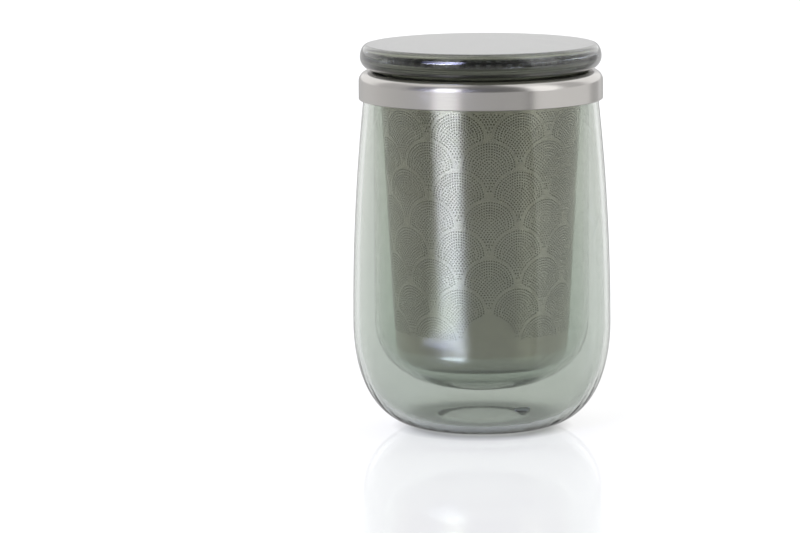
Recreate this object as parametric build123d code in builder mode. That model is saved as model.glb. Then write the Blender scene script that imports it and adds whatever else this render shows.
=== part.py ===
from build123d import *
import os
from math import cos, radians, sin, sqrt

# A double-walled tea glass with a lift-out steel infuser and a lift-off glass lid.
# Every piece but the vent plug is turned about the Z axis. Z = 0 is the table.

# Glass: the inner wall fixes the bore, and the outer wall is built out from it.
mouth_radius = 35.9
inner_wall = 1.6
rim_gap = 0.9
outer_wall = 2.0
belly_bulge = 4.6
belly_height = 37.3
rim_height = 123.7
rim_joint_drop = 4.2

# Foot: a narrow standing ring round a shallow dished centre.
foot_radius = 18.3
foot_ring_width = 1.5
punt_depth = 0.9
punt_slope_width = 4.4
base_wall = 2.4
heel_sweep = 0.877
heel_rise = 0.352

# Bowl: the rounded bottom of the inner wall, clear of the base.
bowl_gap = 11.3
bowl_flat_radius = 4.8
bowl_rise_height = 24.5
bowl_sweep = 0.52
bowl_rise = 0.71

# Plug that closes the vent hole left when the walls are fused.
vent_radius = 1.5
vent_offset = 15.6
vent_angle = 20.0
plug_recess = 0.5
plug_head_radius = 2.6
plug_head_thickness = 0.8

# Infuser: a tapered sheet wall lapped over a drawn bottom cup.
infuser_clearance = 0.8
infuser_floor_gap = 7.2
cup_clearance = 5.7
infuser_top_drop = 3.2
wall_sheet = 0.4
cup_sheet = 0.6
cup_depth = 6.1
cup_corner_radius = 5.4
lap_height = 3.0
joggle_height = 0.6

# Collar: a turned-over ring that hangs on the rim and carries the lid.
collar_sheet = 0.9
collar_height = 9.8
rim_seat_gap = 0.3
skirt_clearance = 0.7
shoulder_radius = 3.5
mouth_bend_radius = 1.2
sleeve_lap = 6.0
edge_radius = 0.3

# Lid: a thick disc with a step below it that a soft ring centres in the collar.
lid_inset = 0.5
lid_thickness = 9.3
lid_widest_height = 4.9
lid_top_edge_width = 2.6
lid_bottom_edge_width = 6.0
step_depth = 3.6
step_edge_radius = 0.5
seal_clearance = 0.4
seal_stand_out = 0.8
seal_height = 2.0
seal_groove_depth = 0.9
seal_land = 0.4
seal_edge_radius = 0.5

# Heights and radii that follow from the sizes above.
inner_radius = mouth_radius + inner_wall
rim_radius = inner_radius + rim_gap + outer_wall
belly_radius = rim_radius + belly_bulge
rim_joint_height = rim_height - rim_joint_drop
bowl_height = base_wall + bowl_gap
bowl_wall_height = bowl_height + bowl_rise_height
infuser_base_radius = mouth_radius - cup_clearance
infuser_bottom = bowl_height + inner_wall + infuser_floor_gap
seam_height = infuser_bottom + cup_depth
wall_top_height = rim_height - infuser_top_drop
collar_top = rim_height + rim_seat_gap + collar_sheet
collar_bottom = collar_top - collar_height


def outer_wall_radius(height):
    """Outside radius of the glass above its belly, where the side is one arc."""
    rise = rim_joint_height - belly_height
    arc_radius = (rise**2 + belly_bulge**2) / (2 * belly_bulge)
    return belly_radius - arc_radius + sqrt(arc_radius**2 - (height - belly_height) ** 2)


def infuser_radius(height):
    """Outside radius of the infuser's straight taper."""
    top_radius = mouth_radius - infuser_clearance
    taper = (top_radius - infuser_base_radius) / (wall_top_height - seam_height)
    return infuser_base_radius + taper * (height - seam_height)


def sleeve_radius(height):
    """Inside radius of the collar's sleeve, which lines the infuser wall."""
    return infuser_radius(height) - wall_sheet - collar_sheet


os.makedirs("parts", exist_ok=True)

# Outer glass: dished foot, round heel and a side that draws in to the rim.
floor_radius = foot_radius
foot_inner_radius = foot_radius - foot_ring_width
punt_radius = foot_inner_radius - punt_slope_width
heel_reach = heel_sweep * (belly_radius - foot_radius)
heel_lift = belly_height * (1 - heel_rise)
inside_belly = belly_radius - outer_wall
inside_reach = heel_sweep * (inside_belly - floor_radius)
inside_lift = belly_height - heel_rise * (belly_height - base_wall)
with BuildPart() as outer_glass:
    with BuildSketch(Plane.XZ) as outer_section:
        with BuildLine():
            Line((0, punt_depth), (punt_radius, punt_depth))
            Bezier(
                (punt_radius, punt_depth),
                (punt_radius + punt_slope_width / 2, punt_depth),
                (foot_inner_radius - punt_slope_width / 2, 0),
                (foot_inner_radius, 0),
            )
            Line((foot_inner_radius, 0), (foot_radius, 0))
            Bezier(
                (foot_radius, 0),
                (foot_radius + heel_reach, 0),
                (belly_radius, heel_lift),
                (belly_radius, belly_height),
            )
            TangentArc((belly_radius, belly_height), (rim_radius, rim_joint_height), tangent=(0, 1))
            Line((rim_radius, rim_joint_height), (rim_radius - outer_wall, rim_joint_height))
            TangentArc(
                (inside_belly, belly_height),
                (rim_radius - outer_wall, rim_joint_height),
                tangent=(0, 1),
            )
            Bezier(
                (inside_belly, belly_height),
                (inside_belly, inside_lift),
                (floor_radius + inside_reach, base_wall),
                (floor_radius, base_wall),
            )
            Polyline((floor_radius, base_wall), (0, base_wall), (0, punt_depth))
        make_face()
    revolve(axis=Axis.Z)
    vent_x = vent_offset * cos(radians(vent_angle))
    vent_y = vent_offset * sin(radians(vent_angle))
    with Locations((vent_x, vent_y, base_wall)):
        Hole(vent_radius, depth=base_wall)
outer_glass.part.label = "outer_glass"
export_step(outer_glass.part, "parts/outer_glass.step")

# Inner glass: round bowl, straight bore and the rolled rim fused to the outer wall.
rim_bead_radius = (rim_radius - mouth_radius) / 2
rim_bead_height = rim_height - rim_bead_radius
bowl_outer_reach = bowl_sweep * (inner_radius - bowl_flat_radius)
bowl_inner_reach = bowl_sweep * (mouth_radius - bowl_flat_radius)
bowl_outer_lift = bowl_wall_height - bowl_rise * bowl_rise_height
bowl_floor = bowl_height + inner_wall
bowl_inner_lift = bowl_wall_height - bowl_rise * (bowl_wall_height - bowl_floor)
with BuildPart() as inner_glass:
    with BuildSketch(Plane.XZ) as inner_section:
        with BuildLine():
            Line((0, bowl_height), (bowl_flat_radius, bowl_height))
            Bezier(
                (bowl_flat_radius, bowl_height),
                (bowl_flat_radius + bowl_outer_reach, bowl_height),
                (inner_radius, bowl_outer_lift),
                (inner_radius, bowl_wall_height),
            )
            Polyline(
                (inner_radius, bowl_wall_height),
                (inner_radius, rim_joint_height),
                (rim_radius, rim_joint_height),
                (rim_radius, rim_bead_height),
            )
            ThreePointArc(
                (rim_radius, rim_bead_height),
                (rim_radius - rim_bead_radius, rim_height),
                (mouth_radius, rim_bead_height),
            )
            Line((mouth_radius, rim_bead_height), (mouth_radius, bowl_wall_height))
            Bezier(
                (mouth_radius, bowl_wall_height),
                (mouth_radius, bowl_inner_lift),
                (bowl_flat_radius + bowl_inner_reach, bowl_floor),
                (bowl_flat_radius, bowl_floor),
            )
            Polyline((bowl_flat_radius, bowl_floor), (0, bowl_floor), (0, bowl_height))
        make_face()
    revolve(axis=Axis.Z)
inner_glass.part.label = "inner_glass"
export_step(inner_glass.part, "parts/inner_glass.step")

# Vent plug: a stem in the vent hole and a head on the base's inner face.
with BuildPart() as vent_plug:
    with BuildSketch(Plane.XY.offset(plug_recess)) as plug_stem:
        with Locations((vent_x, vent_y)):
            Circle(vent_radius)
    extrude(amount=base_wall - plug_recess)
    with BuildSketch(Plane.XY.offset(base_wall)) as plug_head:
        with Locations((vent_x, vent_y)):
            Circle(plug_head_radius)
    extrude(amount=plug_head_thickness)
    fillet(vent_plug.edges().filter_by(GeomType.CIRCLE).group_by(Axis.Z)[-1], plug_head_thickness / 2)
vent_plug.part.label = "vent_plug"
export_step(vent_plug.part, "parts/vent_plug.step")

# Infuser wall: a plain tapered sleeve of thin sheet.
with BuildPart() as infuser_wall:
    with BuildSketch(Plane.XZ) as wall_section:
        with BuildLine():
            Polyline(
                (infuser_radius(seam_height), seam_height),
                (infuser_radius(wall_top_height), wall_top_height),
                (infuser_radius(wall_top_height) - wall_sheet, wall_top_height),
                (infuser_radius(seam_height) - wall_sheet, seam_height),
                close=True,
            )
        make_face()
    revolve(axis=Axis.Z)
infuser_wall.part.label = "infuser_wall"
export_step(infuser_wall.part, "parts/infuser_wall.step")

# Infuser cup: flush with the wall below the seam, and joggled inside it above.
lap_top = seam_height + lap_height
cup_corner_inner = cup_corner_radius - cup_sheet
with BuildPart() as infuser_cup:
    with BuildSketch(Plane.XZ) as cup_section:
        with BuildLine():
            FilletPolyline(
                (0, infuser_bottom),
                (infuser_base_radius, infuser_bottom),
                (infuser_base_radius, seam_height),
                (infuser_base_radius - wall_sheet, seam_height),
                (infuser_radius(lap_top) - wall_sheet, lap_top),
                (infuser_radius(lap_top) - wall_sheet - cup_sheet, lap_top),
                (infuser_base_radius - wall_sheet - cup_sheet, seam_height),
                (infuser_base_radius - cup_sheet, seam_height - joggle_height),
                (infuser_base_radius - cup_sheet, infuser_bottom + cup_sheet),
                (0, infuser_bottom + cup_sheet),
                radius=[0, cup_corner_radius, 0, 0, 0, 0, 0, 0, cup_corner_inner, 0],
                close=True,
            )
        make_face()
    revolve(axis=Axis.Z)
infuser_cup.part.label = "infuser_cup"
export_step(infuser_cup.part, "parts/infuser_cup.step")

# Collar: skirt outside the glass, rounded shoulder, flat seat and inner sleeve.
skirt_inner = outer_wall_radius(collar_bottom) + skirt_clearance
skirt_outer = skirt_inner + collar_sheet
collar_under = collar_top - collar_sheet
sleeve_bottom = wall_top_height - sleeve_lap
with BuildPart() as collar:
    with BuildSketch(Plane.XZ) as collar_section:
        with BuildLine():
            FilletPolyline(
                (skirt_outer, collar_bottom),
                (skirt_outer, collar_top),
                (sleeve_radius(collar_top), collar_top),
                (sleeve_radius(sleeve_bottom), sleeve_bottom),
                (sleeve_radius(sleeve_bottom) + collar_sheet, sleeve_bottom),
                (sleeve_radius(collar_under) + collar_sheet, collar_under),
                (skirt_inner, collar_under),
                (skirt_inner, collar_bottom),
                radius=[
                    edge_radius,
                    shoulder_radius,
                    mouth_bend_radius,
                    edge_radius,
                    edge_radius,
                    mouth_bend_radius - collar_sheet,
                    shoulder_radius - collar_sheet,
                    edge_radius,
                ],
                close=True,
            )
        make_face()
    revolve(axis=Axis.Z)
collar.part.label = "collar"
export_step(collar.part, "parts/collar.step")

# Lid: flat top, elliptical edges and a grooved step below the seat.
lid_radius = skirt_outer - lid_inset
lid_top = collar_top + lid_thickness
lid_widest = collar_top + lid_widest_height
step_bottom = collar_top - step_depth
seal_radius = sleeve_radius(step_bottom) - seal_clearance
step_radius = seal_radius - seal_stand_out
groove_radius = step_radius - seal_groove_depth
seal_bottom = step_bottom + step_edge_radius + seal_land
seal_top = seal_bottom + seal_height
with BuildPart() as lid_glass:
    with BuildSketch(Plane.XZ) as lid_section:
        with BuildLine():
            Line((0, lid_top), (lid_radius - lid_top_edge_width, lid_top))
            EllipticalCenterArc(
                (lid_radius - lid_top_edge_width, lid_widest),
                lid_top_edge_width,
                lid_top - lid_widest,
                0,
                arc_size=90,
            )
            EllipticalCenterArc(
                (lid_radius - lid_bottom_edge_width, lid_widest),
                lid_bottom_edge_width,
                lid_widest_height,
                -90,
                arc_size=90,
            )
            Polyline(
                (lid_radius - lid_bottom_edge_width, collar_top),
                (step_radius, collar_top),
                (step_radius, seal_top),
                (groove_radius, seal_top),
                (groove_radius, seal_bottom),
                (step_radius, seal_bottom),
                (step_radius, step_bottom),
                (0, step_bottom),
                (0, lid_top),
            )
        make_face()
    revolve(axis=Axis.Z)
    fillet(lid_glass.edges().filter_by(GeomType.CIRCLE).group_by(Axis.Z)[0], step_edge_radius)
lid_glass.part.label = "lid_glass"
export_step(lid_glass.part, "parts/lid_glass.step")

# Lid seal: a soft ring that fills the groove and stands out round it.
with BuildPart() as lid_seal:
    with BuildSketch(Plane.XZ) as seal_section:
        with BuildLine():
            FilletPolyline(
                (groove_radius, seal_bottom),
                (seal_radius, seal_bottom),
                (seal_radius, seal_top),
                (groove_radius, seal_top),
                radius=[0, seal_edge_radius, seal_edge_radius, 0],
                close=True,
            )
        make_face()
    revolve(axis=Axis.Z)
lid_seal.part.label = "lid_seal"
export_step(lid_seal.part, "parts/lid_seal.step")
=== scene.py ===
import bpy
from math import cos, hypot, pi, radians, sin
from mathutils import Matrix, Vector


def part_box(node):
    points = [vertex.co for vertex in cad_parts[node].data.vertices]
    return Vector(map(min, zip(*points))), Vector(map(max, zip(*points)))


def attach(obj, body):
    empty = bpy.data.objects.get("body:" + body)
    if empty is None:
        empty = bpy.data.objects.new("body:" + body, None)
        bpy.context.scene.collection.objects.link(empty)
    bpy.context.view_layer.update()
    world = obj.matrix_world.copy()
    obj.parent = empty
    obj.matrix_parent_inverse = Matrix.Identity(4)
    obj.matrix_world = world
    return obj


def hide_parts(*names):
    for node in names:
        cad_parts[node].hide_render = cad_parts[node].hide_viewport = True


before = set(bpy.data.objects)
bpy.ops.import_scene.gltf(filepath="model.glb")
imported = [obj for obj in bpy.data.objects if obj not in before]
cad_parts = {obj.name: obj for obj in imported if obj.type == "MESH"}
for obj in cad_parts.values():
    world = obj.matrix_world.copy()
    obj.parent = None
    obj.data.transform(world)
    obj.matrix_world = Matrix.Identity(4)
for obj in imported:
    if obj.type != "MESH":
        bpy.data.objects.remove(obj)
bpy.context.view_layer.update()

# Camera: a long lens a step and a half from the glass, looking slightly down on it.
# It stands a little off square, so it is turned and levelled by small angles.
camera_data = bpy.data.cameras.new("camera")
camera_data.sensor_width = 36.0
camera_data.lens = 201.6
camera = bpy.data.objects.new("camera", camera_data)
bpy.context.scene.collection.objects.link(camera)
camera_place = Matrix.Translation((0.0, -1.55, 0.283))
camera_turn = Matrix.Rotation(radians(1.055), 4, "Z")
camera_tilt = Matrix.Rotation(radians(90 - 8.329), 4, "X")
camera_level = Matrix.Rotation(radians(-0.42), 4, "Z")
camera.matrix_world = camera_place @ camera_turn @ camera_tilt @ camera_level
bpy.context.scene.camera = camera

# Studio: a white table, and a room of white panels with a softbox and two narrow lamps on
# one side. The table is left out of mirror reflections, so polished pieces show the panels
# alone. Its glow is turned down in a ring under the foot, a painted shadow where the glass
# keeps light off.
bpy.context.scene.view_settings.view_transform = "Standard"
table_size = 6.0
table_drop = 0.0003
# The table's even glow, and the lower glow of a painted shadow ring under the foot.
shadow_ring_reach = 0.04
full_glow = 0.54
shadow_ring_glow = 0.19


def grey(level):
    """A plain grey as a colour; a level of 1 is white."""
    return level, level, level


def new_finish(name):
    """A new finish: the material, its node tree and its shader."""
    finish = bpy.data.materials.new(name)
    finish.use_nodes = True
    tree = finish.node_tree
    return finish, tree, tree.nodes["Principled BSDF"]


table_mesh = bpy.data.meshes.new("table")
half = table_size / 2
table_mesh.from_pydata(
    [(-half, -half, 0), (half, -half, 0), (half, half, 0), (-half, half, 0)],
    [],
    [(0, 1, 2, 3)],
)
table = bpy.data.objects.new("table", table_mesh)
bpy.context.scene.collection.objects.link(table)
table.location.z = -table_drop
table.visible_glossy = False

white_table, table_tree, table_shader = new_finish("white_table")
table_shader.inputs["Base Color"].default_value = (*grey(0.45), 1)
table_shader.inputs["Roughness"].default_value = 0.06
table_shader.inputs["Emission Strength"].default_value = 1.0
table_place = table_tree.nodes.new("ShaderNodeTexCoord")
from_middle_of_table = table_tree.nodes.new("ShaderNodeVectorMath")
from_middle_of_table.operation = "LENGTH"
out_from_foot = table_tree.nodes.new("ShaderNodeMapRange")
out_from_foot.inputs["From Max"].default_value = shadow_ring_reach
# Painted shadow: the glow ramp dims in a ring under the foot.
table_glow_and_shadow = table_tree.nodes.new("ShaderNodeValToRGB")
glow_and_shadow_stops = table_glow_and_shadow.color_ramp.elements
glow_and_shadow_stops.remove(glow_and_shadow_stops[1])
glow_and_shadow_stops[0].color = (*grey(full_glow), 1)
for place, glow in ((0.34, full_glow), (0.44, shadow_ring_glow), (0.6, shadow_ring_glow), (0.8, full_glow)):
    glow_and_shadow_stops.new(place).color = (*grey(glow), 1)
table_tree.links.new(table_place.outputs["Object"], from_middle_of_table.inputs[0])
table_tree.links.new(from_middle_of_table.outputs["Value"], out_from_foot.inputs["Value"])
table_tree.links.new(out_from_foot.outputs["Result"], table_glow_and_shadow.inputs["Fac"])
table_tree.links.new(table_glow_and_shadow.outputs["Color"], table_shader.inputs["Emission Color"])
table_mesh.materials.append(white_table)

room = bpy.data.worlds.new("room")
bpy.context.scene.world = room
room.use_nodes = True
room_nodes = room.node_tree.nodes
room_link = room.node_tree.links.new
room_nodes.clear()


def room_work(operation, first, second):
    """A math node on two sockets or plain numbers of the room, as a socket."""
    node = room_nodes.new("ShaderNodeMath")
    node.operation = operation
    for socket, value in zip(node.inputs, (first, second)):
        if isinstance(value, (int, float)):
            socket.default_value = value
        else:
            room_link(value, socket)
    return node.outputs[0]


def share_of_range(value, lowest, highest):
    """Where a value of the room lies in its range, from 0 to 1, as a socket."""
    node = room_nodes.new("ShaderNodeMapRange")
    node.inputs["From Min"].default_value = lowest
    node.inputs["From Max"].default_value = highest
    room_link(value, node.inputs["Value"])
    return node.outputs["Result"]


direction = room_nodes.new("ShaderNodeTexCoord")
parts_of_direction = room_nodes.new("ShaderNodeSeparateXYZ")
room_link(direction.outputs["Generated"], parts_of_direction.inputs[0])
towards_lens = room_work("MULTIPLY", parts_of_direction.outputs["Y"], -1)
bearing = room_work("ARCTAN2", parts_of_direction.outputs["X"], towards_lens)
bearing_share = share_of_range(bearing, -pi, pi)
height_share = share_of_range(parts_of_direction.outputs["Z"], -1, 1)


def shades(socket, stops):
    """A ramp through the room's shades; each stop is a place from 0 to 1 and its colour."""
    ramp = room_nodes.new("ShaderNodeValToRGB")
    room_link(socket, ramp.inputs["Fac"])
    elements = ramp.color_ramp.elements
    elements.remove(elements[1])
    elements[0].position = 0
    elements[0].color = (*stops[0][1], 1)
    for place, colour in stops[1:]:
        elements.new(place).color = (*colour, 1)
    return ramp.outputs["Color"]


def round_the_glass(stops):
    """Shades by bearing in degrees from the lens, as the glass sees them."""
    return shades(bearing_share, [(turn / 360 + 0.5, grey(shade)) for turn, shade in stops])


def up_the_wall(stops):
    """Shades by angle in degrees above the level of the glass."""
    return shades(height_share, [(sin(radians(rise)) / 2 + 0.5, colour) for rise, colour in stops])


def combine(operation, first, second):
    """Two colours of the room multiplied or added."""
    node = room_nodes.new("ShaderNodeVectorMath")
    node.operation = operation
    room_link(first, node.inputs[0])
    room_link(second, node.inputs[1])
    return node.outputs[0]


def blend(share, first, second):
    """Goes from one colour of the room to another as a share grows from 0 to 1."""
    node = room_nodes.new("ShaderNodeMix")
    node.data_type = "VECTOR"
    room_link(share, node.inputs["Factor"])
    room_link(first, node.inputs[4])
    room_link(second, node.inputs[5])
    return node.outputs[1]


wall_panels = round_the_glass([
    (-180, 0.42), (-165, 0.55), (-140, 0.7), (-125, 0.72), (-95, 0.62), (-52, 0.52), (-18, 0.5),
    (43, 0.5), (45, 0.3), (49, 0.3), (52, 0.84), (123, 0.82), (128, 0.5), (143, 0.5),
    (149, 0.8), (160, 0.6), (180, 0.42),
])
skirting = up_the_wall([(-90, grey(0.42)), (-30, grey(0.42)), (-19, grey(1)), (90, grey(1))])
upper_panels = round_the_glass([
    (-180, 0.76), (-172, 0.76), (-165, 1.08), (-125, 1.08), (-112, 0.6), (-84, 0.55),
    (-62, 0.16), (22, 0.16), (43, 0.28), (52, 1.4), (76, 1.4), (88, 0.6), (112, 0.6),
    (125, 1.08), (165, 1.08), (172, 0.76), (180, 0.76),
])
above_lens = up_the_wall([(-90, grey(0)), (2.5, grey(0)), (5, grey(1)), (90, grey(1))])
softbox_width = round_the_glass([
    (-180, 0), (-50, 0), (-42, 1), (-27, 1), (-22.5, 0.85), (-19, 0.2), (-17, 0), (180, 0),
])
softbox_height = up_the_wall([
    (-90, grey(0)), (-24, grey(0)), (-14, grey(0.1)), (-9, grey(0.66)), (4, grey(0.66)),
    (8, grey(1.6)), (25, grey(1.6)), (40, grey(0.7)), (50, grey(0)), (90, grey(0)),
])
low_lamp_width = round_the_glass([
    (-180, 0), (-58.5, 0), (-54, 0.34), (-48.5, 0.58), (-44, 0.8), (-39, 1), (-35, 1.02),
    (-31, 0.95), (-28, 0.66), (-24.5, 0.28), (-21.5, 0), (180, 0),
])
high_lamp_width = round_the_glass([
    (-180, 0), (-60.5, 0), (-57, 0.12), (-52, 0.22), (-46, 0.3), (-39, 0.54), (-32, 1),
    (-26, 1.2), (-21, 0.8), (-17, 0.26), (-14, 0), (180, 0),
])


def cool(strength, blue):
    """A lamp's light: its red at a strength, and its blue that many times as strong."""
    return strength, strength * 1.05, strength * blue


low_lamp_height = up_the_wall([
    (-90, grey(0)), (8, grey(0)), (10, cool(29, 0.98)), (11, cool(28, 1.5)),
    (12.9, cool(31, 1.8)), (13.5, cool(13, 2.1)), (14.1, cool(6.5, 2.2)), (14.6, grey(0)),
    (90, grey(0)),
])
high_lamp_height = up_the_wall([
    (-90, grey(0)), (13.3, grey(0)), (14.1, cool(5, 2.2)), (14.7, cool(7.8, 2.2)),
    (15.6, cool(5.8, 2.2)), (16.5, cool(12, 1.65)), (24, cool(12, 1.65)), (27, grey(0)),
    (90, grey(0)),
])

# The lamps are narrow and bright, so they are kept out of the brushed steel outside the glass.
ray = room_nodes.new("ShaderNodeLightPath")
outside_glass = room_work("LESS_THAN", ray.outputs["Transmission Depth"], 0.5)
off_rough = room_work("SUBTRACT", 1.0, ray.outputs["Is Singular Ray"])
off_brushed = room_work("MULTIPLY", ray.outputs["Is Glossy Ray"], off_rough)
lamps_show = room_work("SUBTRACT", 1.0, room_work("MULTIPLY", outside_glass, off_brushed))
low_lamp = combine("MULTIPLY", low_lamp_width, low_lamp_height)
high_lamp = combine("MULTIPLY", high_lamp_width, high_lamp_height)
lamps = combine("MULTIPLY", combine("ADD", low_lamp, high_lamp), lamps_show)

overhead = up_the_wall([(-90, grey(0)), (38, grey(0)), (60, grey(1)), (90, grey(1))])
overhead_panel = round_the_glass([
    (-180, 0.95), (-50, 0.95), (-14, 0.25), (32, 0.25), (52, 0.95), (180, 0.95),
])
room_walls = blend(above_lens, combine("MULTIPLY", wall_panels, skirting), upper_panels)
soft_walls = combine("ADD", room_walls, combine("MULTIPLY", softbox_width, softbox_height))
panels = blend(overhead, combine("ADD", soft_walls, lamps), overhead_panel)

room_light = room_nodes.new("ShaderNodeBackground")
room_link(panels, room_light.inputs["Color"])
white_room = room_nodes.new("ShaderNodeBackground")
white_room.inputs["Color"].default_value = (*grey(1), 1)
room_choice = room_nodes.new("ShaderNodeMixShader")
room_output = room_nodes.new("ShaderNodeOutputWorld")
room_link(ray.outputs["Is Camera Ray"], room_choice.inputs[0])
room_link(room_light.outputs[0], room_choice.inputs[1])
room_link(white_room.outputs[0], room_choice.inputs[2])
room_link(room_choice.outputs[0], room_output.inputs["Surface"])

# Outer glass: a blown borosilicate wall, tinted a pale grey-green in the melt.
# It is fused to the inner wall along the rim, which the collar hides. The melt has
# faint cords in it, and the wall is thicker, so deeper in colour, towards the foot.


def effect_group(name, sizes, effect):
    """Starts the group of a shared effect: its named sizes go in, and the effect comes out."""
    group = bpy.data.node_groups.new(name, "ShaderNodeTree")
    for size_name in sizes:
        group.interface.new_socket(size_name, in_out="INPUT", socket_type="NodeSocketFloat")
    group.interface.new_socket(effect, in_out="OUTPUT", socket_type="NodeSocketFloat")
    enter = group.nodes.new("NodeGroupInput").outputs
    leave = group.nodes.new("NodeGroupOutput").inputs
    place = group.nodes.new("ShaderNodeTexCoord").outputs["Object"]
    return group, enter, leave, place


def add_effect(tree, group, sizes):
    """Places a shared effect in a finish, with that finish's own sizes, as a socket."""
    node = tree.nodes.new("ShaderNodeGroup")
    node.node_tree = group
    for size_name, value in sizes.items():
        node.inputs[size_name].default_value = value
    return node.outputs[0]


def marks_group():
    """Builds the group for the faint smears that handling leaves on polished pieces."""
    group, enter, leave, place = effect_group(
        "handling_marks", ("Mark Scale", "Strength"), "Marks"
    )
    smear = group.nodes.new("ShaderNodeTexNoise")
    smear.inputs["Detail"].default_value = 4
    edge = group.nodes.new("ShaderNodeMapRange")
    edge.interpolation_type = "SMOOTHSTEP"
    edge.inputs["From Min"].default_value = 0.52
    edge.inputs["From Max"].default_value = 0.72
    weight = group.nodes.new("ShaderNodeMath")
    weight.operation = "MULTIPLY"
    link = group.links.new
    link(place, smear.inputs["Vector"])
    link(enter["Mark Scale"], smear.inputs["Scale"])
    link(smear.outputs["Fac"], edge.inputs["Value"])
    link(edge.outputs["Result"], weight.inputs[0])
    link(enter["Strength"], weight.inputs[1])
    link(weight.outputs[0], leave["Marks"])
    return group


handling_marks = marks_group()


def melt_group():
    """Builds the group for how deep a melt's colour is: cords, and a deeper colour below a height,
    for a wall that thickens and for the lid's painted shade.
    """
    group, enter, leave, place = effect_group(
        "melt_depth_and_shade", ("Thin Height", "Deep Height", "Cord Scale", "Cord Strength"), "Depth"
    )
    split = group.nodes.new("ShaderNodeSeparateXYZ")
    deepening = group.nodes.new("ShaderNodeMapRange")
    deepening.interpolation_type = "SMOOTHSTEP"
    cords = group.nodes.new("ShaderNodeTexNoise")
    cords.inputs["Detail"].default_value = 2
    cord_depth = group.nodes.new("ShaderNodeMath")
    cord_depth.operation = "MULTIPLY"
    depth = group.nodes.new("ShaderNodeMath")
    depth.operation = "ADD"
    depth.use_clamp = True
    link = group.links.new
    link(place, split.inputs[0])
    link(split.outputs["Z"], deepening.inputs["Value"])
    link(enter["Thin Height"], deepening.inputs["From Min"])
    link(enter["Deep Height"], deepening.inputs["From Max"])
    link(place, cords.inputs["Vector"])
    link(enter["Cord Scale"], cords.inputs["Scale"])
    link(cords.outputs["Fac"], cord_depth.inputs[0])
    link(enter["Cord Strength"], cord_depth.inputs[1])
    link(deepening.outputs["Result"], depth.inputs[0])
    link(cord_depth.outputs[0], depth.inputs[1])
    link(depth.outputs[0], leave["Depth"])
    return group


melt_depth_and_shade = melt_group()


def tinted_glass(name, thin_tint, deep_tint, thin_height, deep_height, dullness=0.0):
    """Clear tinted glass: deeper in colour below a given height, with cords and faint smears. On a
    wall the deeper part is where it is thick; on the lid it is painted shade.
    """
    finish, tree, shader = new_finish(name)
    shader.inputs["Transmission Weight"].default_value = 1.0
    shader.inputs["IOR"].default_value = 1.47
    depth = add_effect(tree, melt_depth_and_shade, {
        "Thin Height": thin_height,
        "Deep Height": deep_height,
        "Cord Scale": 35,
        "Cord Strength": 0.12,
    })
    marks = add_effect(tree, handling_marks, {"Mark Scale": 60, "Strength": 0.02})
    tint = tree.nodes.new("ShaderNodeValToRGB")
    tint.color_ramp.elements[0].color = (*thin_tint, 1)
    tint.color_ramp.elements[1].color = (*deep_tint, 1)
    dulled = tree.nodes.new("ShaderNodeMath")
    dulled.operation = "ADD"
    dulled.inputs[1].default_value = dullness
    tree.links.new(depth, tint.inputs["Fac"])
    tree.links.new(tint.outputs["Color"], shader.inputs["Base Color"])
    tree.links.new(marks, dulled.inputs[0])
    tree.links.new(dulled.outputs[0], shader.inputs["Roughness"])
    return finish


def refinish(node, finish):
    """Gives a CAD node its finish."""
    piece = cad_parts[node]
    piece.data.materials.clear()
    piece.data.materials.append(finish)
    return piece


outer_melt = tinted_glass(
    "outer_melt",
    thin_tint=(0.65, 0.675, 0.635),
    deep_tint=(0.645, 0.68, 0.64),
    thin_height=0.1,
    deep_height=0.02,
)
outer_glass = refinish("outer_glass", outer_melt)

# Inner glass: the blown cup that holds the tea, of the same melt but a thinner wall.
# Its rolled rim turns outwards to meet the outer wall.
inner_melt = tinted_glass(
    "inner_melt",
    thin_tint=(0.83, 0.85, 0.815),
    deep_tint=(0.81, 0.84, 0.805),
    thin_height=0.09,
    deep_height=0.02,
)
inner_glass = refinish("inner_glass", inner_melt)

# Vent plug: a drop of clear silicone sealant, which sets a little cloudy.
# It closes the hole in the foot through which the space between the walls was vented.


def grain_group():
    """Builds the group for the fine grain of set silicone."""
    group, enter, leave, place = effect_group("silicone_grain", ("Grain Scale",), "Grain")
    grain = group.nodes.new("ShaderNodeTexNoise")
    group.links.new(place, grain.inputs["Vector"])
    group.links.new(enter["Grain Scale"], grain.inputs["Scale"])
    group.links.new(grain.outputs["Fac"], leave["Grain"])
    return group


silicone_grain = grain_group()


def silicone(name, clearness, grain_scale):
    """Set silicone, dulled by its grain: the finish, its shader and the grain."""
    finish, tree, shader = new_finish(name)
    shader.inputs["Transmission Weight"].default_value = clearness
    shader.inputs["IOR"].default_value = 1.41
    grain = add_effect(tree, silicone_grain, {"Grain Scale": grain_scale})
    tree.links.new(grain, shader.inputs["Roughness"])
    return finish, shader, grain


sealant, sealant_shader, sealant_grain = silicone("vent_sealant", clearness=0.25, grain_scale=700)
cloud = sealant.node_tree.nodes.new("ShaderNodeValToRGB")
cloud.color_ramp.elements[0].position = 0.4
cloud.color_ramp.elements[0].color = (0.6, 0.63, 0.61, 1)
cloud.color_ramp.elements[1].position = 0.6
cloud.color_ramp.elements[1].color = (0.95, 0.96, 0.95, 1)
sealant.node_tree.links.new(sealant_grain, cloud.inputs["Fac"])
sealant.node_tree.links.new(cloud.outputs["Color"], sealant_shader.inputs["Base Color"])
vent_plug = refinish("vent_plug", sealant)

# Infuser wall: thin stainless sheet, etched with rows of fans made of tiny holes,
# rolled to a slight taper and welded along one edge.
wall_low, wall_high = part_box("infuser_wall")
wall_foot_radius = 0.0302
wall_head_radius = wall_high.x
wall_sheet = 0.0004
wall_sides = 120
wall_rows = 6
skin_depth = 0.00002


def wall_radius(height):
    """Outside radius of the tapered wall."""
    share = (height - wall_low.z) / (wall_high.z - wall_low.z)
    return wall_foot_radius + (wall_head_radius - wall_foot_radius) * share


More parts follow.
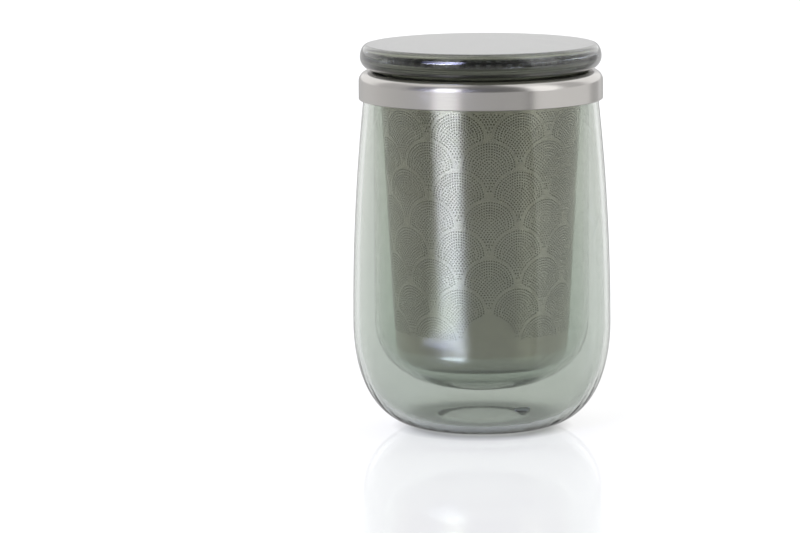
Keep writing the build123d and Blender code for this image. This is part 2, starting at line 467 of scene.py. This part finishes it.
def rolled_band(name, low, high):
    """A closed ring of the tapered sheet between two heights."""
    mesh = bpy.data.meshes.new(name)
    steps = [low + (high - low) * number / wall_rows for number in range(wall_rows + 1)]
    outline = [(height, 0) for height in steps]
    outline += [(height, wall_sheet) for height in reversed(steps)]
    points = []
    for height, depth in outline:
        radius = wall_radius(height) - depth
        for side in range(wall_sides):
            turn = 2 * pi * side / wall_sides
            points.append((radius * cos(turn), radius * sin(turn), height))
    faces = []
    for ring in range(len(outline)):
        here = ring * wall_sides
        above = (ring + 1) % len(outline) * wall_sides
        for side in range(wall_sides):
            after = (side + 1) % wall_sides
            faces.append((here + side, here + after, above + after, above + side))
    mesh.from_pydata(points, [], faces)
    mesh.materials.append(rolled_steel)
    band = bpy.data.objects.new(name, mesh)
    bpy.context.scene.collection.objects.link(band)
    return band


etching = bpy.data.node_groups.new("etched_fans", "GeometryNodeTree")
etching_link = etching.links.new
etching_sizes = {
    "Fan Radius": 0.0084,
    "Fan Margin": 0.0001,
    "Row Spacing": 0.0009,
    "Hole Spacing": 0.00086,
    "Widest Turn": radians(92),
    "Clear Radius": 0.01,
    "Clear Margin": 0.00008,
    "Crossing Height": 0.0025,
    "Head Overlap": 0.0003,
    "Body Overlap": 0.0005,
    "Stem Reach": 0.00915,
    "Stem Spacing": 0.0021,
    "Rim Width": 0.00056,
    "Rim Depth": 0.00009,
    "Hole Width": 0.0003,
    "Cutter Depth": 0.0015,
    "Fan Step": 0.02044,
    "Fan Rise": 0.01015,
    "Lowest Fan": 0.03375,
    "Lowest Hole": 0.0348,
    "Highest Hole": 0.1134,
    "First Bearing": radians(4.5),
    "Roll Radius": 0.03254,
    "Foot Radius": wall_foot_radius,
    "Head Radius": wall_head_radius,
    "Foot Height": wall_low.z,
    "Head Height": wall_high.z,
    "Skin Depth": skin_depth,
}
etching.interface.new_socket("Geometry", in_out="INPUT", socket_type="NodeSocketGeometry")
for size_name in etching_sizes:
    etching.interface.new_socket(size_name, in_out="INPUT", socket_type="NodeSocketFloat")
etching.interface.new_socket("Finish", in_out="INPUT", socket_type="NodeSocketMaterial")
etching.interface.new_socket("Etched Shaded Finish", in_out="INPUT", socket_type="NodeSocketMaterial")
etching.interface.new_socket("Geometry", in_out="OUTPUT", socket_type="NodeSocketGeometry")
size = etching.nodes.new("NodeGroupInput").outputs


def feed(socket, value):
    """Gives a socket of the tree another socket or a plain number."""
    if isinstance(value, (int, float)):
        socket.default_value = value
    else:
        etching_link(value, socket)


def work(operation, *values):
    """A math node on sockets or plain numbers, as a socket."""
    node = etching.nodes.new("ShaderNodeMath")
    node.operation = operation
    for socket, value in zip(node.inputs, values):
        feed(socket, value)
    return node.outputs[0]


def distance(first, second):
    """How far two offsets at a right angle to each other reach together."""
    return work("SQRT", work("ADD", work("POWER", first, 2), work("POWER", second, 2)))


def place_parts():
    """The x, y and z of the points as sockets."""
    position = etching.nodes.new("GeometryNodeInputPosition")
    split = etching.nodes.new("ShaderNodeSeparateXYZ")
    etching_link(position.outputs[0], split.inputs[0])
    return split.outputs


def place_at(points, x, y, z):
    """Moves points to the place that three sockets or plain numbers give."""
    vector = etching.nodes.new("ShaderNodeCombineXYZ")
    for socket, value in zip(vector.inputs, (x, y, z)):
        feed(socket, value)
    move = etching.nodes.new("GeometryNodeSetPosition")
    etching_link(points, move.inputs["Geometry"])
    etching_link(vector.outputs[0], move.inputs["Position"])
    return move.outputs[0]


def keep(points, name, number):
    """Keeps a number on the points under a name."""
    node = etching.nodes.new("GeometryNodeStoreNamedAttribute")
    node.inputs["Name"].default_value = name
    etching_link(points, node.inputs["Geometry"])
    etching_link(number, node.inputs["Value"])
    return node.outputs[0]


def kept(name):
    """A number kept on the points."""
    node = etching.nodes.new("GeometryNodeInputNamedAttribute")
    node.inputs["Name"].default_value = name
    return node.outputs["Attribute"]


def numbered_grid(columns, rows):
    """Points one unit apart, with the column and row number of each."""
    grid = etching.nodes.new("GeometryNodeMeshGrid")
    grid.inputs["Size X"].default_value = columns - 1
    grid.inputs["Size Y"].default_value = rows - 1
    grid.inputs["Vertices X"].default_value = columns
    grid.inputs["Vertices Y"].default_value = rows
    across, along, _ = place_parts()
    column = work("ROUND", work("ADD", across, (columns - 1) / 2))
    row = work("ROUND", work("ADD", along, (rows - 1) / 2))
    points = keep(keep(grid.outputs["Mesh"], "column", column), "row", row)
    return points, kept("column"), kept("row")


def drop(points, condition):
    """Deletes the points where the condition is above zero."""
    node = etching.nodes.new("GeometryNodeDeleteGeometry")
    etching_link(points, node.inputs["Geometry"])
    etching_link(work("GREATER_THAN", condition, 0.0), node.inputs["Selection"])
    return node.outputs[0]


def repeat_at(points, shape, turn=None):
    """Sets a real copy of a shape at each point, turned if a turn is given."""
    repeats = etching.nodes.new("GeometryNodeInstanceOnPoints")
    etching_link(points, repeats.inputs["Points"])
    etching_link(shape, repeats.inputs["Instance"])
    if turn:
        etching_link(turn, repeats.inputs["Rotation"])
    copies = etching.nodes.new("GeometryNodeRealizeInstances")
    etching_link(repeats.outputs[0], copies.inputs[0])
    return copies.outputs[0]


def finish_faces(faces, finish, condition=None):
    """Gives faces a finish, all of them or those where the condition is true."""
    node = etching.nodes.new("GeometryNodeSetMaterial")
    etching_link(faces, node.inputs["Geometry"])
    etching_link(finish, node.inputs["Material"])
    if condition:
        etching_link(condition, node.inputs["Selection"])
    return node.outputs[0]


def sheet_radius(height):
    """Outside radius of the tapered wall at a height, as a socket."""
    share = work(
        "DIVIDE",
        work("SUBTRACT", height, size["Foot Height"]),
        work("SUBTRACT", size["Head Height"], size["Foot Height"]),
    )
    widening = work("SUBTRACT", size["Head Radius"], size["Foot Radius"])
    return work("ADD", size["Foot Radius"], work("MULTIPLY", share, widening))


# The head of a fan: rows of holes on arcs inside the fan's own arc. Its three outer rows
# run on down the sides.
holes_in_row = 35
head_rows = 9
outer_rows = 3
head_points, head_column, head_row = numbered_grid(holes_in_row, head_rows)
arc_radius = work("SUBTRACT", size["Fan Radius"], work("MULTIPLY", head_row, size["Row Spacing"]))
from_top = work("SUBTRACT", head_column, (holes_in_row - 1) / 2)
arc_turn = work("DIVIDE", work("MULTIPLY", from_top, size["Hole Spacing"]), arc_radius)
head_points = drop(head_points, work("SUBTRACT", work("ABSOLUTE", arc_turn), size["Widest Turn"]))
head_points = place_at(
    head_points,
    work("MULTIPLY", arc_radius, work("SINE", arc_turn)),
    work("MULTIPLY", arc_radius, work("COSINE", arc_turn)),
    0,
)
_, head_height, _ = place_parts()
head_foot = work("ADD", size["Crossing Height"], size["Head Overlap"])
below_head = work("SUBTRACT", head_foot, head_height)
inside_outer_rows = work("SUBTRACT", head_row, outer_rows - 0.5)
head_points = drop(head_points, work("MINIMUM", inside_outer_rows, below_head))

# The body of a fan: holes where arcs round the two fans below it cross, which narrows
# to a pointed tail between them.
arcs_each_side = 13
half_step = work("MULTIPLY", size["Fan Step"], 0.5)
body_points, left_arc, right_arc = numbered_grid(arcs_each_side, arcs_each_side)
left_reach = work("ADD", size["Clear Radius"], work("MULTIPLY", left_arc, size["Row Spacing"]))
right_reach = work("ADD", size["Clear Radius"], work("MULTIPLY", right_arc, size["Row Spacing"]))
crossing_across = work(
    "DIVIDE",
    work("SUBTRACT", work("POWER", left_reach, 2), work("POWER", right_reach, 2)),
    work("MULTIPLY", half_step, 4),
)
crossing_rise_squared = work(
    "SUBTRACT",
    work("POWER", left_reach, 2),
    work("POWER", work("ADD", crossing_across, half_step), 2),
)
body_points = drop(body_points, work("MULTIPLY", crossing_rise_squared, -1))
body_points = place_at(
    body_points,
    crossing_across,
    work("SUBTRACT", work("SQRT", crossing_rise_squared), size["Fan Rise"]),
    0,
)
body_across, body_height, _ = place_parts()
body_points = drop(body_points, work("SUBTRACT", body_height, size["Crossing Height"]))
outer_rows_width = work("MULTIPLY", size["Row Spacing"], outer_rows - 0.1)
under_outer_rows = work(
    "SUBTRACT",
    distance(body_across, body_height),
    work("SUBTRACT", size["Fan Radius"], outer_rows_width),
)
above_tail = work("ADD", body_height, size["Body Overlap"])
body_points = drop(body_points, work("MINIMUM", under_outer_rows, above_tail))

# The stem: single holes that fill the tip of the tail. A grid has at least two columns,
# so one of them is dropped.
stem_holes = 2
stem_points, stem_column, stem_row = numbered_grid(2, stem_holes)
stem_points = place_at(
    stem_points,
    0,
    work("SUBTRACT", work("MULTIPLY", stem_row, size["Stem Spacing"]), size["Stem Reach"]),
    0,
)
stem_points = drop(stem_points, work("SUBTRACT", stem_column, 0.5))

# One whole fan, kept clear of its neighbours and inside its own arc.
joined_points = etching.nodes.new("GeometryNodeJoinGeometry")
for some_points in (head_points, body_points, stem_points):
    etching_link(some_points, joined_points.inputs[0])
across, along, _ = place_parts()
side_gap = work("SUBTRACT", work("ABSOLUTE", across), half_step)
down_gap = work("ADD", along, size["Fan Rise"])
clear_reach = work("SUBTRACT", size["Clear Radius"], size["Clear Margin"])
near_neighbour = work("SUBTRACT", clear_reach, distance(side_gap, down_gap))
one_fan = drop(joined_points.outputs[0], near_neighbour)
fan_reach = work("ADD", size["Fan Radius"], size["Fan Margin"])
one_fan = drop(one_fan, work("SUBTRACT", distance(across, along), fan_reach))

# The fans stand in staggered rows; the lowest one in front is a plain dome.
fans_round = 10
fan_rows = 9
fan_spots, fan_column, fan_row = numbered_grid(fans_round, fan_rows)
plain_dome = work("SUBTRACT", 0.5, work("ADD", fan_column, fan_row))
fan_spots = drop(fan_spots, plain_dome)
stagger = work("MULTIPLY", work("MODULO", fan_row, 2), 0.5)
fan_spots = place_at(
    fan_spots,
    work("MULTIPLY", work("ADD", fan_column, stagger), size["Fan Step"]),
    work("ADD", size["Lowest Fan"], work("MULTIPLY", fan_row, size["Fan Rise"])),
    0,
)
holes = repeat_at(fan_spots, one_fan)
holes = drop(holes, work("SUBTRACT", size["Lowest Hole"], along))
holes = drop(holes, work("SUBTRACT", along, size["Highest Hole"]))

# The flat pattern is rolled on to the taper, and a small prism is cut at each hole.
bearing_of_hole = work("ADD", work("DIVIDE", across, size["Roll Radius"]), size["First Bearing"])
hole_radius = sheet_radius(along)
rolled_holes = place_at(
    keep(holes, "bearing", bearing_of_hole),
    work("MULTIPLY", hole_radius, work("SINE", bearing_of_hole)),
    work("MULTIPLY", work("MULTIPLY", hole_radius, work("COSINE", bearing_of_hole)), -1),
    along,
)
cutter = etching.nodes.new("GeometryNodeMeshCylinder")
cutter.inputs["Vertices"].default_value = 6
cutter.inputs["Side Segments"].default_value = 2
cutter.inputs["Depth"].default_value = 2
cutter.inputs["Radius"].default_value = 1
cutter_x, cutter_y, cutter_z = place_parts()
above_rim = work("MAXIMUM", cutter_z, 0)
below_rim = work("MINIMUM", cutter_z, 0)
flare = work("MULTIPLY", above_rim, work("SUBTRACT", size["Rim Width"], size["Hole Width"]))
cutter_radius = work("ADD", work("MULTIPLY", size["Hole Width"], 0.5), flare)
rim_rise = work("MULTIPLY", above_rim, work("MULTIPLY", size["Rim Depth"], 2))
cutter_reach = work(
    "ADD",
    work("SUBTRACT", rim_rise, size["Rim Depth"]),
    work("MULTIPLY", below_rim, size["Cutter Depth"]),
)
flared_cutter = place_at(
    cutter.outputs["Mesh"],
    work("MULTIPLY", cutter_x, cutter_radius),
    work("MULTIPLY", cutter_y, cutter_radius),
    cutter_reach,
)
cutter_turn = etching.nodes.new("ShaderNodeCombineXYZ")
cutter_turn.inputs[0].default_value = pi / 2
etching_link(kept("bearing"), cutter_turn.inputs[2])
cut = etching.nodes.new("GeometryNodeMeshBoolean")
cut.operation = "DIFFERENCE"
cut.solver = "MANIFOLD"
etching_link(size["Geometry"], cut.inputs["Mesh 1"])
etching_link(
    repeat_at(rolled_holes, flared_cutter, cutter_turn.outputs[0]), cut.inputs["Mesh 2"]
)

# The etch leaves dull faces inside the holes and their rims, just below the sheet's skin.
# They get a near-black steel, a painted shade for the dark inside seen through the holes.
whole = etching.nodes.new("GeometryNodeRealizeInstances")
etching_link(cut.outputs["Mesh"], whole.inputs[0])
face_x, face_y, face_z = place_parts()
depth_of_face = work("SUBTRACT", sheet_radius(face_z), distance(face_x, face_y))
below_skin = work("GREATER_THAN", depth_of_face, size["Skin Depth"])
etched_sheet = finish_faces(whole.outputs[0], size["Finish"])
etched_sheet = finish_faces(etched_sheet, size["Etched Shaded Finish"], below_skin)
etching_out = etching.nodes.new("NodeGroupOutput")
etching_link(etched_sheet, etching_out.inputs[0])


def brushing_group():
    """Builds the group for fine lines that run round a turned or rolled piece."""
    group, enter, leave, place = effect_group(
        "round_brushing", ("Line Density", "Line Length"), "Lines"
    )
    split = group.nodes.new("ShaderNodeSeparateXYZ")
    flat = group.nodes.new("ShaderNodeCombineXYZ")
    radius = group.nodes.new("ShaderNodeVectorMath")
    radius.operation = "LENGTH"
    heading = group.nodes.new("ShaderNodeVectorMath")
    heading.operation = "NORMALIZE"
    turned = group.nodes.new("ShaderNodeVectorMath")
    turned.operation = "SCALE"
    level = group.nodes.new("ShaderNodeMath")
    level.operation = "ADD"
    spread = group.nodes.new("ShaderNodeMath")
    spread.operation = "MULTIPLY"
    rise = group.nodes.new("ShaderNodeCombineXYZ")
    along_lines = group.nodes.new("ShaderNodeVectorMath")
    along_lines.operation = "ADD"
    lines = group.nodes.new("ShaderNodeTexNoise")
    lines.inputs["Scale"].default_value = 1
    lines.inputs["Detail"].default_value = 3
    link = group.links.new
    link(place, split.inputs[0])
    link(split.outputs["X"], flat.inputs["X"])
    link(split.outputs["Y"], flat.inputs["Y"])
    link(flat.outputs[0], radius.inputs[0])
    link(flat.outputs[0], heading.inputs[0])
    link(heading.outputs[0], turned.inputs[0])
    link(enter["Line Length"], turned.inputs["Scale"])
    link(split.outputs["Z"], level.inputs[0])
    link(radius.outputs["Value"], level.inputs[1])
    link(level.outputs[0], spread.inputs[0])
    link(enter["Line Density"], spread.inputs[1])
    link(spread.outputs[0], rise.inputs["Z"])
    link(turned.outputs[0], along_lines.inputs[0])
    link(rise.outputs[0], along_lines.inputs[1])
    link(along_lines.outputs[0], lines.inputs["Vector"])
    link(lines.outputs["Fac"], leave["Lines"])
    return group


round_brushing = brushing_group()


def steel(name, colour, smoothest, roughest, line_density, line_length, line_depth):
    """Stainless steel with fine lines round it and the faint smears of handling."""
    finish, tree, shader = new_finish(name)
    shader.inputs["Base Color"].default_value = (*colour, 1)
    shader.inputs["Metallic"].default_value = 1.0
    lines = add_effect(
        tree, round_brushing, {"Line Density": line_density, "Line Length": line_length}
    )
    marks = add_effect(tree, handling_marks, {"Mark Scale": 90, "Strength": 0.05})
    dulling = tree.nodes.new("ShaderNodeMapRange")
    dulling.inputs["To Min"].default_value = smoothest
    dulling.inputs["To Max"].default_value = roughest
    dulled = tree.nodes.new("ShaderNodeMath")
    dulled.operation = "ADD"
    bump = tree.nodes.new("ShaderNodeBump")
    bump.inputs["Strength"].default_value = 1.0
    bump.inputs["Distance"].default_value = line_depth
    tree.links.new(lines, dulling.inputs["Value"])
    tree.links.new(dulling.outputs["Result"], dulled.inputs[0])
    tree.links.new(marks, dulled.inputs[1])
    tree.links.new(dulled.outputs[0], shader.inputs["Roughness"])
    tree.links.new(lines, bump.inputs["Height"])
    tree.links.new(bump.outputs["Normal"], shader.inputs["Normal"])
    return finish


rolled_steel = steel(
    "rolled_steel",
    colour=(0.53, 0.472, 0.405),
    smoothest=0.12,
    roughest=0.2,
    line_density=5000,
    line_length=6,
    line_depth=0.0000002,
)
# Near-black etched steel: real dull etching, and painted shade in the holes.
etched_steel_and_shade = steel(
    "etched_steel_and_shade",
    colour=(0.12, 0.116, 0.104),
    smoothest=0.36,
    roughest=0.46,
    line_density=3000,
    line_length=4,
    line_depth=0.000001,
)


def smooth_over(mesh):
    """Shades the sheet as one smooth taper, whatever the small faces round the holes."""
    lean = (wall_head_radius - wall_foot_radius) / (wall_high.z - wall_low.z)
    normals = []
    for face in mesh.polygons:
        middle = face.center
        depth = wall_radius(middle.z) - hypot(middle.x, middle.y)
        on_outside = depth < skin_depth
        on_inside = depth > wall_sheet - skin_depth
        for loop in face.loop_indices:
            point = mesh.vertices[mesh.loops[loop].vertex_index].co
            if on_outside or on_inside:
                reach = hypot(point.x, point.y)
                side = 1 if on_outside else -1
                normal = Vector((point.x / reach, point.y / reach, -lean)).normalized() * side
            else:
                normal = face.normal
            normals.append(normal)
    mesh.normals_split_custom_set(normals)


# The wall is made in five bands. A hole at a seam is cut from both bands.
band_parts = ("foot", "lower", "middle", "upper", "head")
band_height = (wall_high.z - wall_low.z) / len(band_parts)
seam_margin = 0.001
etching_inputs = {
    item.name: item.identifier for item in etching.interface.items_tree if item.in_out == "INPUT"
}
for number, part in enumerate(band_parts):
    low = wall_low.z + number * band_height
    high = low + band_height
    band = rolled_band("infuser_wall_" + part, low, high)
    modifier = band.modifiers.new("etching", "NODES")
    modifier.node_group = etching
    band_sizes = dict(etching_sizes)
    band_sizes["Lowest Hole"] = max(etching_sizes["Lowest Hole"], low - seam_margin)
    band_sizes["Highest Hole"] = min(etching_sizes["Highest Hole"], high + seam_margin)
    for size_name, value in band_sizes.items():
        modifier[etching_inputs[size_name]] = value
    modifier[etching_inputs["Finish"]] = rolled_steel
    modifier[etching_inputs["Etched Shaded Finish"]] = etched_steel_and_shade
    bpy.context.view_layer.update()
    evaluated = band.evaluated_get(bpy.context.evaluated_depsgraph_get())
    etched = bpy.data.meshes.new_from_object(evaluated)
    band.modifiers.remove(modifier)
    band.data = etched
    smooth_over(etched)
    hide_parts("infuser_wall")
    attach(band, "infuser")

# Infuser cup: a shallow dish, pressed from a thicker sheet with a rounded edge.
# It is spot-welded inside the foot of the wall and closes it.
pressed_steel = steel(
    "pressed_steel",
    colour=(0.6, 0.575, 0.52),
    smoothest=0.14,
    roughest=0.26,
    line_density=3500,
    line_length=5,
    line_depth=0.000001,
)
infuser_cup = refinish("infuser_cup", pressed_steel)

# Collar: a steel ring, spun and folded over the head of the wall, then brushed round.
# It hangs the infuser on the rim of the glass, and the lid lies on it.
spun_steel = steel(
    "spun_steel",
    colour=(0.62, 0.6, 0.575),
    smoothest=0.12,
    roughest=0.26,
    line_density=2500,
    line_length=3,
    line_depth=0.0000006,
)
collar = refinish("collar", spun_steel)

# Lid: a thick pressed disc of the same tinted glass, a little dull in its body.
# Below the widest part of its rim the tint goes near black, a painted shade for the rim's
# dark lower half. Its skin is fire-polished, so a clear coat lies over it.
lid_melt = tinted_glass(
    "lid_melt",
    thin_tint=(0.3, 0.315, 0.25),
    # The near-black deep tint is painted shade on the lower half of the lid.
    deep_tint=(0.035, 0.038, 0.027),
    thin_height=0.1309,
    deep_height=0.1288,
    dullness=0.08,
)
lid_shader = lid_melt.node_tree.nodes["Principled BSDF"]
lid_shader.inputs["Coat Weight"].default_value = 1.0
lid_shader.inputs["Coat Roughness"].default_value = 0.0
lid_glass = refinish("lid_glass", lid_melt)

# Lid seal: a soft ring of clear silicone, stretched into the groove of the lid's step.
# It keeps the lid centred in the collar.
seal_finish, seal_shader, _ = silicone("clear_silicone", clearness=0.6, grain_scale=400)
seal_shader.inputs["Base Color"].default_value = (0.7, 0.72, 0.7, 1)
lid_seal = refinish("lid_seal", seal_finish)
